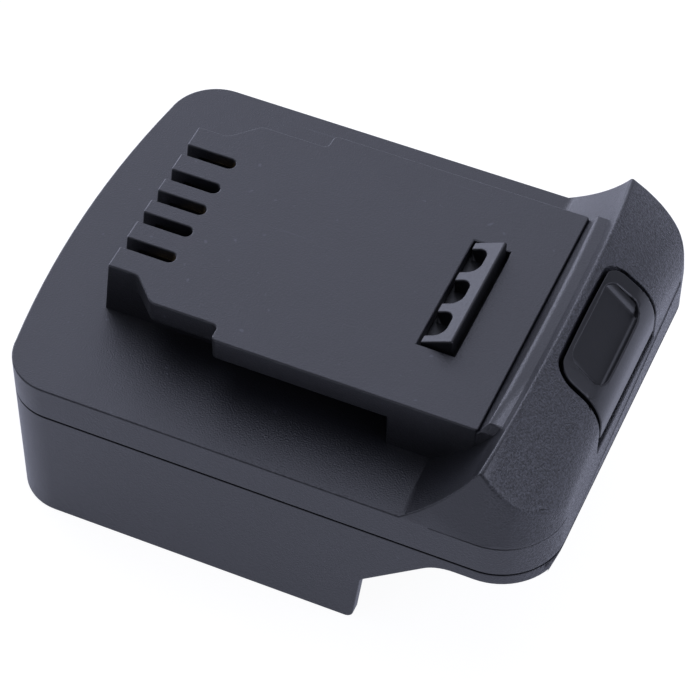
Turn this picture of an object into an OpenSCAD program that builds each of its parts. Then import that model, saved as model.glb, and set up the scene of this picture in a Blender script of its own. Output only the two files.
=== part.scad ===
// Slide-on battery adapter for cordless tools: a raised contact plate with a
// sprung release latch on top, and a bay for a slide pack underneath.
// Millimetres, +Z up, +X towards the thumb button, origin under the middle.

/* [Body] */
// Overall length, from the bowed end to the button end
body_l = 100; // [96:0.2:112]
// Overall width
body_w = 76; // [74:0.5:84]
// Wall and roof thickness of both shells
wall = 2.4; // [2:0.1:2.8]
// Height of the lower shell, up to the seam
seam_z = 25.4; // [24.8:0.1:32]
// Height of the band of the upper shell, from the seam to the deck
band_h = 7.3; // [7:0.1:9]
// Height of the shadow groove along the seam
seam_groove = 0.35; // [0.2:0.05:0.5]
// Radius of the bowed end in plan
bow_r = 181; // [140:1:240]
// Corner radius at the bowed end
bow_corner_r = 9; // [8:0.5:12]
// Corner radius at the button end
grip_corner_r = 11.2; // [9.2:0.2:14]

/* [Slide plate] */
// Distance from the bowed end to the plate
plate_setback = 14.2; // [12.5:0.1:16]
// Distance from the plate to the button end
plate_end_back = 16.6; // [16:0.1:18]
// Height of the plate above the deck
plate_h = 11.3; // [10.8:0.1:13]
// Thickness of the overhanging flange
flange_t = 4.6; // [3.6:0.1:5.2]
// Width over the flange
flange_w = 50.2; // [48:0.2:54]
// Width of the narrower front stretch of the flange
shoulder_w = 44; // [41:0.5:46]
// Width of the neck that carries the flange, and of the front tab
neck_w = 35; // [34.6:0.2:38]
// Length of the front tab
tab_l = 5.5; // [4:0.5:7]
// Length of the slanted step from the tab to the shoulder
tab_ramp_l = 4.5; // [3:0.5:6]
// Distance from the front of the tab to the full-width flange
shoulder_l = 22.3; // [18:0.1:26]
// Length of the solid block that closes the rail channels
block_l = 15.7; // [12:0.1:18]
// Corner radius at the button end of the plate
plate_corner_r = 0.6; // [0.4:0.1:2]
// Radius of the steps along the sides of the plate
step_r = 2; // [0.6:0.1:3]
// Draft of the end face of the front tab, over its whole height
tab_draft = 1.2; // [0.4:0.1:2]

/* [Contact slots] */
// Width of one slot
slot_w = 2.25; // [1.8:0.05:2.8]
// Length of a slot in the top of the plate
slot_l = 9.6; // [8:0.1:11]
// Offset of the two inner slots from the middle
inner_slot_y = 5.4; // [5:0.1:5.8]
// Offset of the two outer slots from the middle
outer_slot_y = 11.7; // [11.2:0.1:12]

/* [Bolster] */
// Length of the bolster at deck level
bolster_l = 24.6; // [24:0.1:26]
// Radius of the concave scoop in front of the ridge
scoop_r = 42; // [40:0.5:44]
// Angle at which the scoop leaves the deck
scoop_a = 36; // [34:1:38]
// Height of the ridge above the deck, at the middle
ridge_h = 18.8; // [18.3:0.1:19.2]
// Fall of the slope behind the ridge, in degrees
slope_a = 37; // [34:1:39]
// Radius of the crown across the slope
crown_r = 87; // [82:1:160]
// Radius that turns the slope into the end face
slope_fillet_r = 9; // [7:0.2:10]
// Inward lean of the two ends of the bolster, in degrees
end_lean = 14.5; // [11:0.5:18]
// Length of the low rib between the plate and the ridge, level with the plate
rib_l = 50; // [46:0.2:52]
// How far the rib stands out of the scoop
rib_t = 1.9; // [1.2:0.1:2.1]
// Rise of the rib above the plate, at the middle
rib_rise = 3; // [2:0.1:3.4]

/* [Release latch] */
// Window in the plate: distance from the plate's button end
window_back = 9.2; // [9:0.1:10.5]
// Window in the plate: length along the body
window_l = 6.6; // [6.2:0.1:7.4]
// Window in the plate: width across the body
window_w = 24.7; // [23:0.1:25.5]
// Height of the wedge above the plate
wedge_h = 2.7; // [2:0.1:3.2]
// Running gap of the wedge in its window
window_gap = 0.4; // [0.3:0.05:0.7]
// Travel of the latch when the button is pressed
travel = 2.8; // [2.4:0.1:3.2]
// Button opening: length back from the end face
notch_l = 8.9; // [8:0.1:9.6]
// Button opening: width at the ridge side
notch_top_w = 26.4; // [25:0.2:28]
// Button opening: width at the end face
notch_end_w = 26.8; // [25.4:0.2:29]
// Gap round the button
button_gap = 0.7; // [0.5:0.05:0.9]
// Height of the button's lower edge above the deck
button_edge_h = 3.3; // [3:0.1:3.6]
// Depth of the thumb dish
dish_d = 1.3; // [0.8:0.1:1.6]
// Width of the thumb dish, across the body
dish_w = 19.6; // [16:0.2:21]
// Outer diameter of a latch spring
spring_d = 5.2; // [4.6:0.1:5.4]
// Wire diameter of a latch spring
spring_wire = 0.6; // [0.4:0.05:0.7]

/* [Battery bay] */
// Thickness of the floor between the bay and the wiring space
floor_t = 2.4; // [2:0.1:2.8]
// Length of the skirt along its lower edge
skirt_l = 67.5; // [60:0.1:72]
// Height at which the skirt's edge turns to slope upwards
skirt_turn_h = 11.6; // [10:0.1:14]
// Length of the sloping edge, along the body
skirt_slope_l = 13.4; // [12:0.1:16]
// Inward lean of the lip under the button end, in degrees
lip_lean = 20; // [10:1:25]
// Reach of the guide rails inside the skirt
rail_reach = 5; // [4.4:0.1:6]
// Height of the guide rails' upper face above the skirt's edge
rail_top_h = 9.5; // [8:0.1:11]
// Thickness of a guide rail
rail_t = 3.2; // [2.6:0.1:4]
// Distance from the skirt's end to the end of the guide rails
rail_end_back = 6; // [4:0.5:12]

/* [Terminals] */
// Thickness of a battery blade
blade_t = 0.8; // [0.6:0.05:1.2]
// Height of a battery blade
blade_h = 6.5; // [5:0.1:7.5]
// Free length of a battery blade
blade_l = 14; // [10:0.5:16]
// Offset of the two power blades from the middle
blade_y = 14.3; // [13.8:0.1:14.8]
// Offset of the signal blade from the middle
signal_blade_y = 4.8; // [4:0.1:5.4]
// Thickness of the sheet that the tool contacts are bent from
contact_t = 0.5; // [0.4:0.05:0.6]
// Diameter of a power lead
lead_d = 2.4; // [1.8:0.1:2.6]
// Diameter of a signal lead
signal_d = 1.5; // [1.2:0.1:1.6]

/* [Circuit board] */
// Length of the board along the body
board_l = 22; // [18:0.5:24]
// Width of the board
board_w = 26; // [22:0.5:27]
// Thickness of the board
board_t = 1.6; // [1:0.1:2]

/* [Fasteners] */
// Shank diameter of the shell screws
screw_d = 3; // [2.6:0.1:3.2]
// Head diameter of the shell screws
screw_head_d = 5.6; // [5:0.1:6]
// Head height of the shell screws
screw_head_h = 2; // [1.6:0.1:2.2]
// Shank diameter of the small inner screws
small_screw_d = 2.2; // [1.8:0.1:2.4]

/* [Hidden] */
$fn = 96;

// Small values used everywhere
eps = 0.5;
fit_gap = 0.1;
screw_play = 0.4;
far = 120;
shell_grey = [0.2, 0.205, 0.225];
latch_grey = [0.15, 0.155, 0.17];
nylon_black = [0.1, 0.1, 0.11];
brass = [0.78, 0.63, 0.33];
steel = [0.72, 0.73, 0.75];

// Levels and ends of the body
x_l = -body_l / 2;
x_r = body_l / 2;
deck_z = seam_z + band_h;
plate_z = deck_z + plate_h;
flange_z = plate_z - flange_t;
floor_z = seam_z - floor_t;
plate_x0 = x_l + plate_setback;
plate_x1 = x_r - plate_end_back;
roof_z = plate_z - wall;
deck_under_z = deck_z - wall;
block_x0 = plate_x1 - block_l;

// Bowed end: centre of the bow and of its corner arcs, which stand a hair proud of the bow
corner_proud = 0.03;
bow_x = x_l + bow_r;
bow_corner_y = body_w / 2 - bow_corner_r;
bow_corner_x = bow_x - sqrt(pow(bow_r - bow_corner_r, 2) - pow(bow_corner_y, 2)) - corner_proud;

// Button end: axis of its corners, and the groove along the seam
grip_x = x_r - grip_corner_r;
grip_y = body_w / 2 - grip_corner_r;
groove_d = 0.7;

// Bolster: scoop axis, ridge, crown axis and rib
scoop_x0 = x_r - bolster_l;
scoop_cx = scoop_x0 - scoop_r * sin(scoop_a);
scoop_cz = deck_z + scoop_r * cos(scoop_a);
ridge_z = deck_z + ridge_h;
ridge_x = scoop_cx + sqrt(pow(scoop_r, 2) - pow(ridge_z - scoop_cz, 2));
crown_z = ridge_z - crown_r;
rib_z = plate_z + rib_rise;
rib_lap = 0.2;
rib_x1 = scoop_cx + sqrt(pow(scoop_r, 2) - pow(rib_z - scoop_cz, 2)) + rib_lap;
rib_crown_r = 240;
rib_lean = 20;
rib_end_r = 2;
slope_end_z = ridge_z - tan(slope_a) * (x_r - ridge_x);
fillet_x = x_r - slope_fillet_r;
fillet_z = slope_end_z - slope_fillet_r * tan((90 - slope_a) / 2);

// Latch: window, wedge and the shoulder that stops it under the roof
window_x1 = plate_x1 - window_back;
window_x0 = window_x1 - window_l;
wedge_x0 = window_x0 + window_gap;
wedge_x1 = window_x1 - 1.5 * window_gap;
wedge_hw = window_w / 2 - window_gap;
wedge_tip_r = 0.35;
wedge_toe_r = 0.3;
wedge_pocket_w = 5.3;
wedge_pocket_pitch = 7.5;
wedge_pocket_r = 1.8;
wedge_back_t = 2.4;
wedge_base_t = 1.5;
stop_gap = 0.2;
shoulder_lap = 2.1;
shoulder_t = 3;
shoulder_x0 = wedge_x0 - 1.6;
shoulder_x1 = wedge_x1 + 2.7;
shoulder_z1 = roof_z - stop_gap;
shoulder_z0 = shoulder_z1 - shoulder_t;
shoulder_hw = window_w / 2 + shoulder_lap;

// Latch: button, its opening, the curtain behind it and the arm
notch_x0 = x_r - notch_l;
notch_corner_r = 3.5;
button_edge_z = deck_z + button_edge_h;
notch_floor_z = button_edge_z - travel - stop_gap;
button_wall = 2;
curtain_t = 1.4;
curtain_x1 = x_r - wall - 1.6;
curtain_x0 = curtain_x1 - curtain_t;
curtain_hw = notch_top_w / 2 - button_gap - eps;
curtain_z0 = seam_z + travel + 0.7;
curtain_rise = 7.5;
curtain_z1 = button_edge_z + curtain_rise;
arm_hw = 8;
arm_t = 3.5;
arm_z0 = deck_z + 0.7;
arm_z1 = arm_z0 + arm_t;
arm_gap = 0.7;
arm_x1 = curtain_x0 + eps;
web_x0 = wedge_x1 - 1.5;
web_r = 0.8;
dish_top_back = 7.3;
dish_foot_back = 1.2;
dish_x0 = x_r - dish_top_back;
dish_x1 = x_r - dish_foot_back;
dish_z0 = ridge_z - tan(slope_a) * (dish_x0 - ridge_x);
dish_z1 = fillet_z + sqrt(pow(slope_fillet_r, 2) - pow(dish_x1 - fillet_x, 2));
dish_l = norm([dish_x1 - dish_x0, dish_z1 - dish_z0]);
dish_a = atan2(dish_z0 - dish_z1, dish_x1 - dish_x0);
dish_corner_r = 3.4;
dish_side_r = 0.8;
dish_end_r = 2.2;

// Latch springs, between the floor and pockets under the arm
pocket_d = spring_d + 1;
pocket_h = 1.5;
spring_x = plate_x1 - 1.3;
spring_y = arm_hw - pocket_d / 2 - 0.3;
spring_z0 = seam_z;
spring_z1 = arm_z0 + pocket_h;
spring_turns = 5.5;
post_d = spring_d - 2 * spring_wire - 0.6;
post_h = 2.5;

// Contact carrier and the contacts that stand on it
carrier_gap = 0.6;
carrier_x0 = plate_x0 + wall + carrier_gap;
carrier_l = 19.4;
carrier_x1 = carrier_x0 + carrier_l;
carrier_hw = neck_w / 2 - wall - carrier_gap / 1.5;
carrier_z1 = deck_z + 2.3;
carrier_t = 3.6;
carrier_z0 = carrier_z1 - carrier_t;
comb_l = 12;
comb_t = 1;
slot_floor_z = carrier_z1 - fit_gap;
contact_x0 = carrier_x0 + 0.3;
contact_h = 5.4;
contact_l = 10.2;
contact_mouth = 1.25;
contact_pinch = 0.45;
contact_pinch_x = 2.2;
contact_back = 1.1;
tail_l = 6.6;
tail_hw = 1.1;
tail_x1 = contact_x0 + contact_l + tail_l;
carrier_screw_inset = 3.4;
carrier_screw_shift = 0.45;
carrier_screw_x = carrier_x1 - carrier_screw_inset;
carrier_screw_y = inner_slot_y + carrier_screw_shift;
carrier_boss_d = 5.6;
carrier_grip = 4.5;
small_head_d = 2 * small_screw_d;
small_head_h = 1.8;

// Terminal block and its blades
block_setback = 13.1;
block_cx = x_l + block_setback;
block_hl = 5.6;
block_hw = blade_y + 2.7;
block_lap = 1.4;
block_flange_t = 1.8;
block_drop = 11;
block_z0 = floor_z - block_drop;
ear_r = 2.9;
ear_x = block_cx + block_hl - ear_r;
ear_y = block_hw + ear_r;
blade_drop = 2.6;
blade_z1 = floor_z - blade_drop;
blade_z0 = blade_z1 - blade_h;
blade_tip = 1.2;
lead_gap = 0.2;
tab_w = 3;
tab_rise = block_flange_t + 2 * lead_gap + lead_d;
tab_x0 = block_cx - tab_w;
tab_x1 = tab_x0 + tab_w;
tab_z1 = seam_z + tab_rise;
block_screw_l = 6;
block_boss_h = 5;

// Skirt, catch bar and the tongue along the seam
skirt_lean = 1.4;
skirt_lip_r = 8;
skirt_turn_r = 2.4;
skirt_foot_r = 1.5;
catch_back = 20.5;
catch_t = 1.5;
catch_h = 3;
catch_hw = 10;
tongue_t = 1;
tongue_h = 1.4;

// Circuit board on its two posts
board_gap = 5.5;
board_x0 = carrier_x1 + board_gap;
board_post_h = 2.5;
board_z0 = seam_z + board_post_h;
board_z1 = board_z0 + board_t;
board_post_d = 5.6;
board_corner_r = 1;
board_screw_inset = 3.4;
board_screw_l = 4.6;
board_post_at = [[board_x0 + board_screw_inset, board_w / 2 - board_screw_inset],
    [board_x0 + board_l - board_screw_inset, -board_w / 2 + board_screw_inset]];

// Resistors: body, wire, reach over the bent wires, pitch, and distance of the first from the board's corner
resistor_r = 1.1;
resistor_l = 6;
resistor_reach = 9;
resistor_wire_r = 0.3;
resistor_pitch = 3.2;
resistor_inset = [5.5, 5];

// Shell screws: seats and places
seat_z = floor_z + 2.3;
seat_t = 2.3;
screw_boss_d = 8;
upper_boss_d = 7;
screw_tip_z = deck_z - 1.3;
grip_screw_back = 2;
grip_screw_inset = 9.5;
grip_screw_x = grip_x - grip_screw_back;
grip_screw_y = body_w / 2 - grip_screw_inset;
screw_at = [for (s = [-1, 1]) each [[bow_corner_x, s * bow_corner_y], [grip_screw_x, s * grip_screw_y]]];

// Outline with rounded corners: each point is [x, y, radius], counter-clockwise;
// an arc stands a hair proud of the lines it joins, so that they cross cleanly
arc_proud = 0.002;
function unit(v) = v / norm(v);
function flat(p) = [p[0], p[1]];
function half_angle(a, b, c) = acos(unit(a - b) * unit(c - b)) / 2;
function arc_ends(a, b, c, r) =
    let (t = r / tan(half_angle(a, b, c))) [b + unit(a - b) * t, b + unit(c - b) * t];
function arc_centre(a, b, c, r) = b + unit(unit(a - b) + unit(c - b)) * r / sin(half_angle(a, b, c));
function is_convex(a, b, c) = cross(b - a, c - b) > 0;

module rounded(pts) {
    n = len(pts);
    p = [for (q = pts) flat(q)];
    corners = [for (i = [0 : n - 1]) [p[(i + n - 1) % n], p[i], p[(i + 1) % n], pts[i][2]]];
    difference() {
        union() {
            polygon([for (c = corners) each (c[3] > 0 ? arc_ends(c[0], c[1], c[2], c[3]) : [c[1]])]);
            for (c = corners)
                if (c[3] > 0 && is_convex(c[0], c[1], c[2]))
                    translate(arc_centre(c[0], c[1], c[2], c[3])) circle(c[3] + arc_proud);
        }
        for (c = corners)
            if (c[3] > 0 && !is_convex(c[0], c[1], c[2]))
                translate(arc_centre(c[0], c[1], c[2], c[3])) circle(c[3] + arc_proud);
    }
}

// A profile drawn in X and Z, extruded across the body between -hw and hw
module across(hw) {
    translate([0, hw, 0]) rotate([90, 0, 0]) linear_extrude(2 * hw) children();
}

// A box from its two opposite corners
module box(a, b) {
    translate(a) cube(b - a);
}

// Plan of the body, set in from its outside by d
module body_outline(d = 0) {
    half = body_w / 2 - d;
    bow_y = bow_corner_y * (bow_r - d) / (bow_r - bow_corner_r);
    intersection() {
        translate([bow_x, 0]) circle(bow_r - d, $fn = 360);
        translate([x_l - eps, -bow_y]) square([body_l / 2, 2 * bow_y]);
    }
    translate([bow_corner_x, -half]) square([grip_x - bow_corner_x, 2 * half]);
    translate([0, -grip_y]) square([x_r - d, 2 * grip_y]);
    for (s = [-1, 1]) {
        translate([bow_corner_x, s * bow_corner_y]) circle(bow_corner_r - d);
        translate([grip_x, s * grip_y]) circle(grip_corner_r - d);
    }
}

// Plan of the overhanging flange; its front edge lies inside the tab
module flange_outline() {
    front_x = plate_x0 + tab_l / 2;
    tab_x = plate_x0 + tab_l;
    ramp_x = tab_x + tab_ramp_l;
    wide_x = plate_x0 + shoulder_l;
    n = neck_w / 2;
    s = shoulder_w / 2;
    f = flange_w / 2;
    half = [[front_x, n, 0], [tab_x, n, step_r], [ramp_x, s, step_r], [wide_x, s, step_r / 2],
        [wide_x, f, step_r / 2], [plate_x1, f, plate_corner_r]];
    rounded(concat([for (p = half) [p[0], -p[1], p[2]]],
        [for (i = [len(half) - 1 : -1 : 0]) half[i]]));
}

// Crowned slope behind the ridge, turned about an axis along the body
module slope_form(d) {
    end_x = x_r - d;
    slope_z = function (x) ridge_z - tan(slope_a) * (x - ridge_x) - d / cos(slope_a);
    translate([0, 0, crown_z]) rotate([0, 90, 0]) rotate_extrude($fn = 360)
        rounded([[-crown_z, scoop_x0, 0], [slope_z(scoop_x0) - crown_z, scoop_x0, 0],
            [slope_z(end_x) - crown_z, end_x, slope_fillet_r - d], [-crown_z, end_x, 0]]);
}

// One end of the bolster: leans in from the deck, round the corner, and fades at the end face
module lean_half(d) {
    r = grip_corner_r * cos(end_lean) - d;
    translate([0, grip_y, deck_z]) rotate([end_lean, 0, 0]) translate([0, 0, -far]) linear_extrude(2 * far)
        rounded([[0, -far, 0], [x_r - d, -far, 0], [x_r - d, r, r], [0, r, 0]]);
}

// The bolster, set in from its outside by d
module bolster_form(d = 0, bottom = seam_z) {
    difference() {
        intersection() {
            translate([0, 0, bottom]) linear_extrude(far) body_outline(d);
            slope_form(d);
            lean_half(d);
            mirror([0, 1, 0]) lean_half(d);
        }
        across_cylinder(scoop_r + d);
    }
}

module across_cylinder(r) {
    translate([scoop_cx, body_w, scoop_cz]) rotate([90, 0, 0]) cylinder(r = r, h = 2 * body_w, $fn = 240);
}

// Low rib between the plate and the ridge: a step of the scoop, with a crowned top and leaning ends
module ridge_rib() {
    x0 = plate_x1 - eps;
    h = rib_l / 2;
    top = h - tan(rib_lean) * (rib_rise + eps);
    difference() {
        intersection() {
            translate([0, 0, deck_under_z]) linear_extrude(far)
                rounded([[x0, -h, 0], [rib_x1, -h, rib_end_r], [rib_x1, h, rib_end_r], [x0, h, 0]]);
            translate([x0 - eps, 0, rib_z - rib_crown_r]) rotate([0, 90, 0])
                cylinder(r = rib_crown_r, h = far, $fn = 360);
            translate([x0 - eps, 0, 0]) rotate([90, 0, 90]) linear_extrude(far)
                polygon([[-h - eps, 0], [h + eps, 0], [h + eps, plate_z - eps / tan(rib_lean)],
                    [top, rib_z + eps], [-top, rib_z + eps], [-h - eps, plate_z - eps / tan(rib_lean)]]);
        }
        across_cylinder(scoop_r - rib_t);
    }
}

// Plan of the button opening, or of the button, set in by d
module notch_outline(d = 0) {
    t = notch_top_w / 2 - d;
    e = notch_end_w / 2 - d;
    x0 = notch_x0 + d;
    x1 = x_r + eps;
    r = notch_corner_r - d;
    rounded([[x0, -t, r], [x1, -e, 0], [x1, e, 0], [x0, t, r]]);
}

// Slot in the top of the plate, open at the end of the tab
module slot_cut(y) {
    x0 = plate_x0 - tab_draft - eps;
    end_x = plate_x0 + slot_l - slot_w / 2;
    translate([0, y, slot_floor_z]) linear_extrude(far) {
        translate([x0, -slot_w / 2]) square([end_x - x0, slot_w]);
        translate([end_x, 0]) circle(d = slot_w);
    }
}

// Outside of the upper shell
module upper_form() {
    translate([0, 0, seam_z]) linear_extrude(band_h) body_outline();
    across(neck_w / 2) polygon([[plate_x0 - tab_draft, deck_under_z], [plate_x1 - wall, deck_under_z],
        [plate_x1 - wall, plate_z], [plate_x0, plate_z], [plate_x0 - tab_draft, deck_z]]);
    intersection() {
        translate([0, 0, deck_under_z]) linear_extrude(plate_z - deck_under_z) flange_outline();
        union() {
            box([plate_x0, -body_w / 2, flange_z], [plate_x1 + eps, body_w / 2, plate_z + eps]);
            box([block_x0, -body_w / 2, deck_under_z], [plate_x1 + eps, body_w / 2, plate_z + eps]);
        }
    }
    bolster_form();
    ridge_rib();
}

// Space inside the upper shell
module upper_hollow() {
    translate([0, 0, seam_z - eps]) linear_extrude(band_h - wall + eps) body_outline(wall);
    box([plate_x0 + wall, wall - neck_w / 2, seam_z], [plate_x1 - wall, neck_w / 2 - wall, roof_z]);
    box([block_x0 + wall, wall - flange_w / 2, seam_z], [plate_x1 - wall, flange_w / 2 - wall, roof_z]);
    bolster_form(wall, seam_z - eps);
    box([plate_x1 - wall - eps, -arm_hw - arm_gap, seam_z],
        [notch_x0, arm_hw + arm_gap, arm_z1 + arm_gap]);
}

// Bosses that take the shell screws and the carrier screws
module upper_bosses() {
    intersection() {
        upper_form();
        for (p = screw_at)
            translate([p[0], p[1], seat_z + seat_t]) cylinder(d = upper_boss_d, h = far);
    }
    for (s = [-1, 1])
        translate([carrier_screw_x, s * carrier_screw_y, carrier_z1])
            cylinder(d = carrier_boss_d, h = plate_z - wall / 2 - carrier_z1);
}

module upper_shell() {
    color(shell_grey) difference() {
        union() {
            difference() {
                upper_form();
                upper_hollow();
            }
            upper_bosses();
        }
        translate([0, 0, seam_z - eps]) linear_extrude(seam_groove + eps) difference() {
            body_outline(-eps);
            body_outline(groove_d);
        }
        for (y = [-outer_slot_y, -inner_slot_y, 0, inner_slot_y, outer_slot_y]) slot_cut(y);
        box([window_x0, -window_w / 2, roof_z - eps], [window_x1, window_w / 2, plate_z + eps]);
        translate([0, 0, notch_floor_z]) linear_extrude(far) notch_outline();
        for (p = screw_at)
            translate([p[0], p[1], seam_z])
                cylinder(d = screw_d + fit_gap, h = screw_tip_z + fit_gap - seam_z);
        for (s = [-1, 1])
            translate([carrier_screw_x, s * carrier_screw_y, carrier_z1 - eps])
                cylinder(d = small_screw_d + fit_gap, h = roof_z - carrier_z1);
    }
}

// Side view of what is cut away under the button end
module skirt_cut() {
    foot_x = x_l + skirt_l;
    turn_x = foot_x + skirt_lean;
    lip_x = turn_x + skirt_slope_l;
    under_x = foot_x - 2 * skirt_foot_r;
    across(body_w) rounded([[far, -eps, 0], [far, floor_z, 0], [lip_x, floor_z, skirt_lip_r],
        [turn_x, skirt_turn_h, skirt_turn_r], [foot_x, 0, skirt_foot_r], [under_x, 0, 0],
        [under_x, -eps, 0]]);
}

// What the leaning lip leaves away below the seam at the button end
module lip_cut() {
    lean = tan(lip_lean);
    across(body_w) polygon([[x_r + eps * lean, seam_z + eps], [x_r - (floor_t + eps) * lean, floor_z - eps],
        [x_r + wall, floor_z - eps], [x_r + wall, seam_z + eps]]);
}

// Guide rail inside the skirt, with a sloped underside
module guide_rail() {
    outer = body_w / 2 - wall / 2;
    inner = body_w / 2 - wall - rail_reach;
    rotate([90, 0, 90]) translate([0, 0, bow_corner_x])
        linear_extrude(x_l + skirt_l - rail_end_back - bow_corner_x)
            polygon([[outer, rail_top_h - 2 * rail_t], [outer, rail_top_h], [inner, rail_top_h],
                [inner, rail_top_h - rail_t]]);
}

// Catch bar that the battery pack's own latch snaps behind
module pack_catch() {
    x1 = plate_x1 - catch_back;
    x0 = x1 - catch_t;
    across(catch_hw) polygon([[x0 - catch_h, floor_z + eps], [x0 - catch_h, floor_z], [x0, floor_z - catch_h],
        [x1, floor_z - catch_h], [x1, floor_z + eps]]);
}

// Screw post raised above the floor, with the head sunk in from below
module screw_post(p) {
    translate([p[0], p[1], floor_z]) cylinder(d = screw_boss_d, h = seat_z + seat_t - floor_z);
}

module screw_post_bore(p) {
    translate([p[0], p[1], floor_z - eps])
        cylinder(d = screw_head_d + 1.5 * screw_play, h = seat_z - floor_z + eps);
    translate([p[0], p[1], floor_z]) cylinder(d = screw_d + screw_play, h = far);
}

// Outline of the terminal block's body, d larger all round
module block_outline(d = 0) {
    translate([block_cx - block_hl - d, -block_hw - d]) square([2 * (block_hl + d), 2 * (block_hw + d)]);
}

module lower_shell() {
    color(shell_grey) difference() {
        union() {
            difference() {
                linear_extrude(seam_z) body_outline();
                translate([0, 0, -eps]) linear_extrude(floor_z + eps) body_outline(wall);
            }
            intersection() {
                for (s = [0, 1]) mirror([0, s, 0]) guide_rail();
                linear_extrude(seam_z) body_outline();
            }
            translate([0, 0, seam_z - eps]) linear_extrude(tongue_h + eps) difference() {
                body_outline(wall + fit_gap);
                body_outline(wall + fit_gap + tongue_t);
            }
            pack_catch();
            for (p = screw_at) screw_post(p);
            for (p = board_post_at)
                translate([p[0], p[1], floor_z]) cylinder(d = board_post_d, h = board_z0 - floor_z);
            for (s = [-1, 1]) {
                translate([spring_x, s * spring_y, floor_z]) cylinder(d = post_d, h = floor_t + post_h);
                translate([ear_x, s * ear_y, floor_z - block_boss_h])
                    cylinder(d = 2 * ear_r, h = block_boss_h + floor_t);
            }
        }
        skirt_cut();
        lip_cut();
        translate([0, 0, floor_z - eps]) linear_extrude(floor_t + 2 * eps) block_outline(2 * fit_gap);
        for (p = screw_at) screw_post_bore(p);
        for (p = board_post_at)
            translate([p[0], p[1], board_z1 - board_screw_l - fit_gap])
                cylinder(d = small_screw_d + fit_gap, h = far);
        for (s = [-1, 1])
            translate([ear_x, s * ear_y, seam_z + block_flange_t - block_screw_l - fit_gap])
                cylinder(d = small_screw_d + fit_gap, h = far);
    }
}

// Wedge that locks into the tool, hollowed by three scalloped pockets
module latch_wedge() {
    pocket_x0 = wedge_x0 - eps;
    pocket_x1 = wedge_x1 - wedge_back_t;
    w = wedge_pocket_w / 2;
    difference() {
        across(wedge_hw) rounded([[wedge_x0, shoulder_z1 - eps, 0], [wedge_x1, shoulder_z1 - eps, 0],
            [wedge_x1, plate_z + wedge_h, wedge_tip_r], [wedge_x0, plate_z, wedge_toe_r]]);
        for (k = [-1 : 1])
            translate([0, k * wedge_pocket_pitch, shoulder_z1 - wedge_base_t]) linear_extrude(far)
                rounded([[pocket_x0, -w, 0], [pocket_x1, -w, wedge_pocket_r], [pocket_x1, w, wedge_pocket_r],
                    [pocket_x0, w, 0]]);
    }
}

// Thumb dish: a shallow pocket square to the slope, with a rounded floor
module thumb_dish() {
    l = dish_l / 2;
    w = dish_w / 2;
    translate([(dish_x0 + dish_x1) / 2, 0, (dish_z0 + dish_z1) / 2]) rotate([0, dish_a, 0])
        intersection() {
            translate([0, 0, -dish_d]) linear_extrude(far) rounded([[-l, -w, dish_corner_r],
                [l, -w, dish_corner_r], [l, w, dish_corner_r], [-l, w, dish_corner_r]]);
            across(dish_w) rounded([[-l, -dish_d, dish_side_r], [l, -dish_d, dish_side_r], [l, far, 0],
                [-l, far, 0]]);
            rotate([90, 0, 90]) translate([0, 0, -dish_l]) linear_extrude(2 * dish_l)
                rounded([[-w, -dish_d, dish_end_r], [w, -dish_d, dish_end_r], [w, far, 0], [-w, far, 0]]);
        }
}

// Hollow thumb button, flush with the slope
module latch_button() {
    difference() {
        intersection() {
            translate([0, 0, button_edge_z]) linear_extrude(far) notch_outline(button_gap);
            bolster_form();
        }
        intersection() {
            translate([0, 0, button_edge_z - eps]) linear_extrude(far)
                notch_outline(button_gap + button_wall);
            bolster_form(button_wall + dish_d);
        }
        thumb_dish();
    }
}

module release_latch() {
    color(latch_grey) union() {
        latch_wedge();
        latch_button();
        box([curtain_x0, -curtain_hw, curtain_z0], [curtain_x1, curtain_hw, curtain_z1]);
        difference() {
            union() {
                box([shoulder_x0, -shoulder_hw, shoulder_z0], [shoulder_x1, shoulder_hw, shoulder_z1]);
                across(arm_hw) rounded([[shoulder_x0 + eps, shoulder_z0 + eps, 0],
                    [web_x0, shoulder_z0 + eps, web_r], [web_x0, arm_z0, 2 * web_r], [arm_x1, arm_z0, web_r],
                    [arm_x1, arm_z1, 0], [shoulder_x1, arm_z1, web_r], [shoulder_x1, shoulder_z1, 0],
                    [shoulder_x0 + eps, shoulder_z1, 0]]);
            }
            for (s = [-1, 1])
                translate([spring_x, s * spring_y, arm_z0 - eps]) cylinder(d = pocket_d, h = pocket_h + eps);
        }
    }
}

// Tube of radius r swept along points that keep clear of the Y direction
function along(p, i) = unit(p[min(i + 1, len(p) - 1)] - p[max(i - 1, 0)]);
function ring(p, i, r, sides) =
    let (t = along(p, i), u = unit(cross(t, [0, 1, 0])), v = cross(t, u))
    [for (k = [0 : sides - 1]) p[i] + r * (cos(360 * k / sides) * u + sin(360 * k / sides) * v)];

module tube(p, r, sides = 8) {
    n = len(p);
    points = [for (i = [0 : n - 1]) each ring(p, i, r, sides)];
    walls = [for (i = [0 : n - 2]) for (k = [0 : sides - 1])
        let (a = i * sides + k, b = i * sides + (k + 1) % sides)
        each [[a, b, b + sides], [a, b + sides, a + sides]]];
    first = [for (k = [1 : sides - 2]) [0, k + 1, k]];
    last = [for (k = [1 : sides - 2]) (n - 1) * sides * [1, 1, 1] + [0, k, k + 1]];
    polyhedron(points, concat(walls, first, last));
}

// Coil about Z, from z0 to z1 over its own wire
function helix(z0, z1, r, turns, per_turn) = [for (i = [0 : turns * per_turn])
    [r * cos(360 * i / per_turn), r * sin(360 * i / per_turn), z0 + (z1 - z0) * i / (turns * per_turn)]];
function coil_ring(p, i, r, sides) =
    let (t = along(p, i), u = unit([p[i][0], p[i][1], 0]), w = unit(u - (u * t) * t), v = cross(t, w))
    [for (k = [0 : sides - 1]) p[i] + r * (cos(360 * k / sides) * w + sin(360 * k / sides) * v)];

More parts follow.
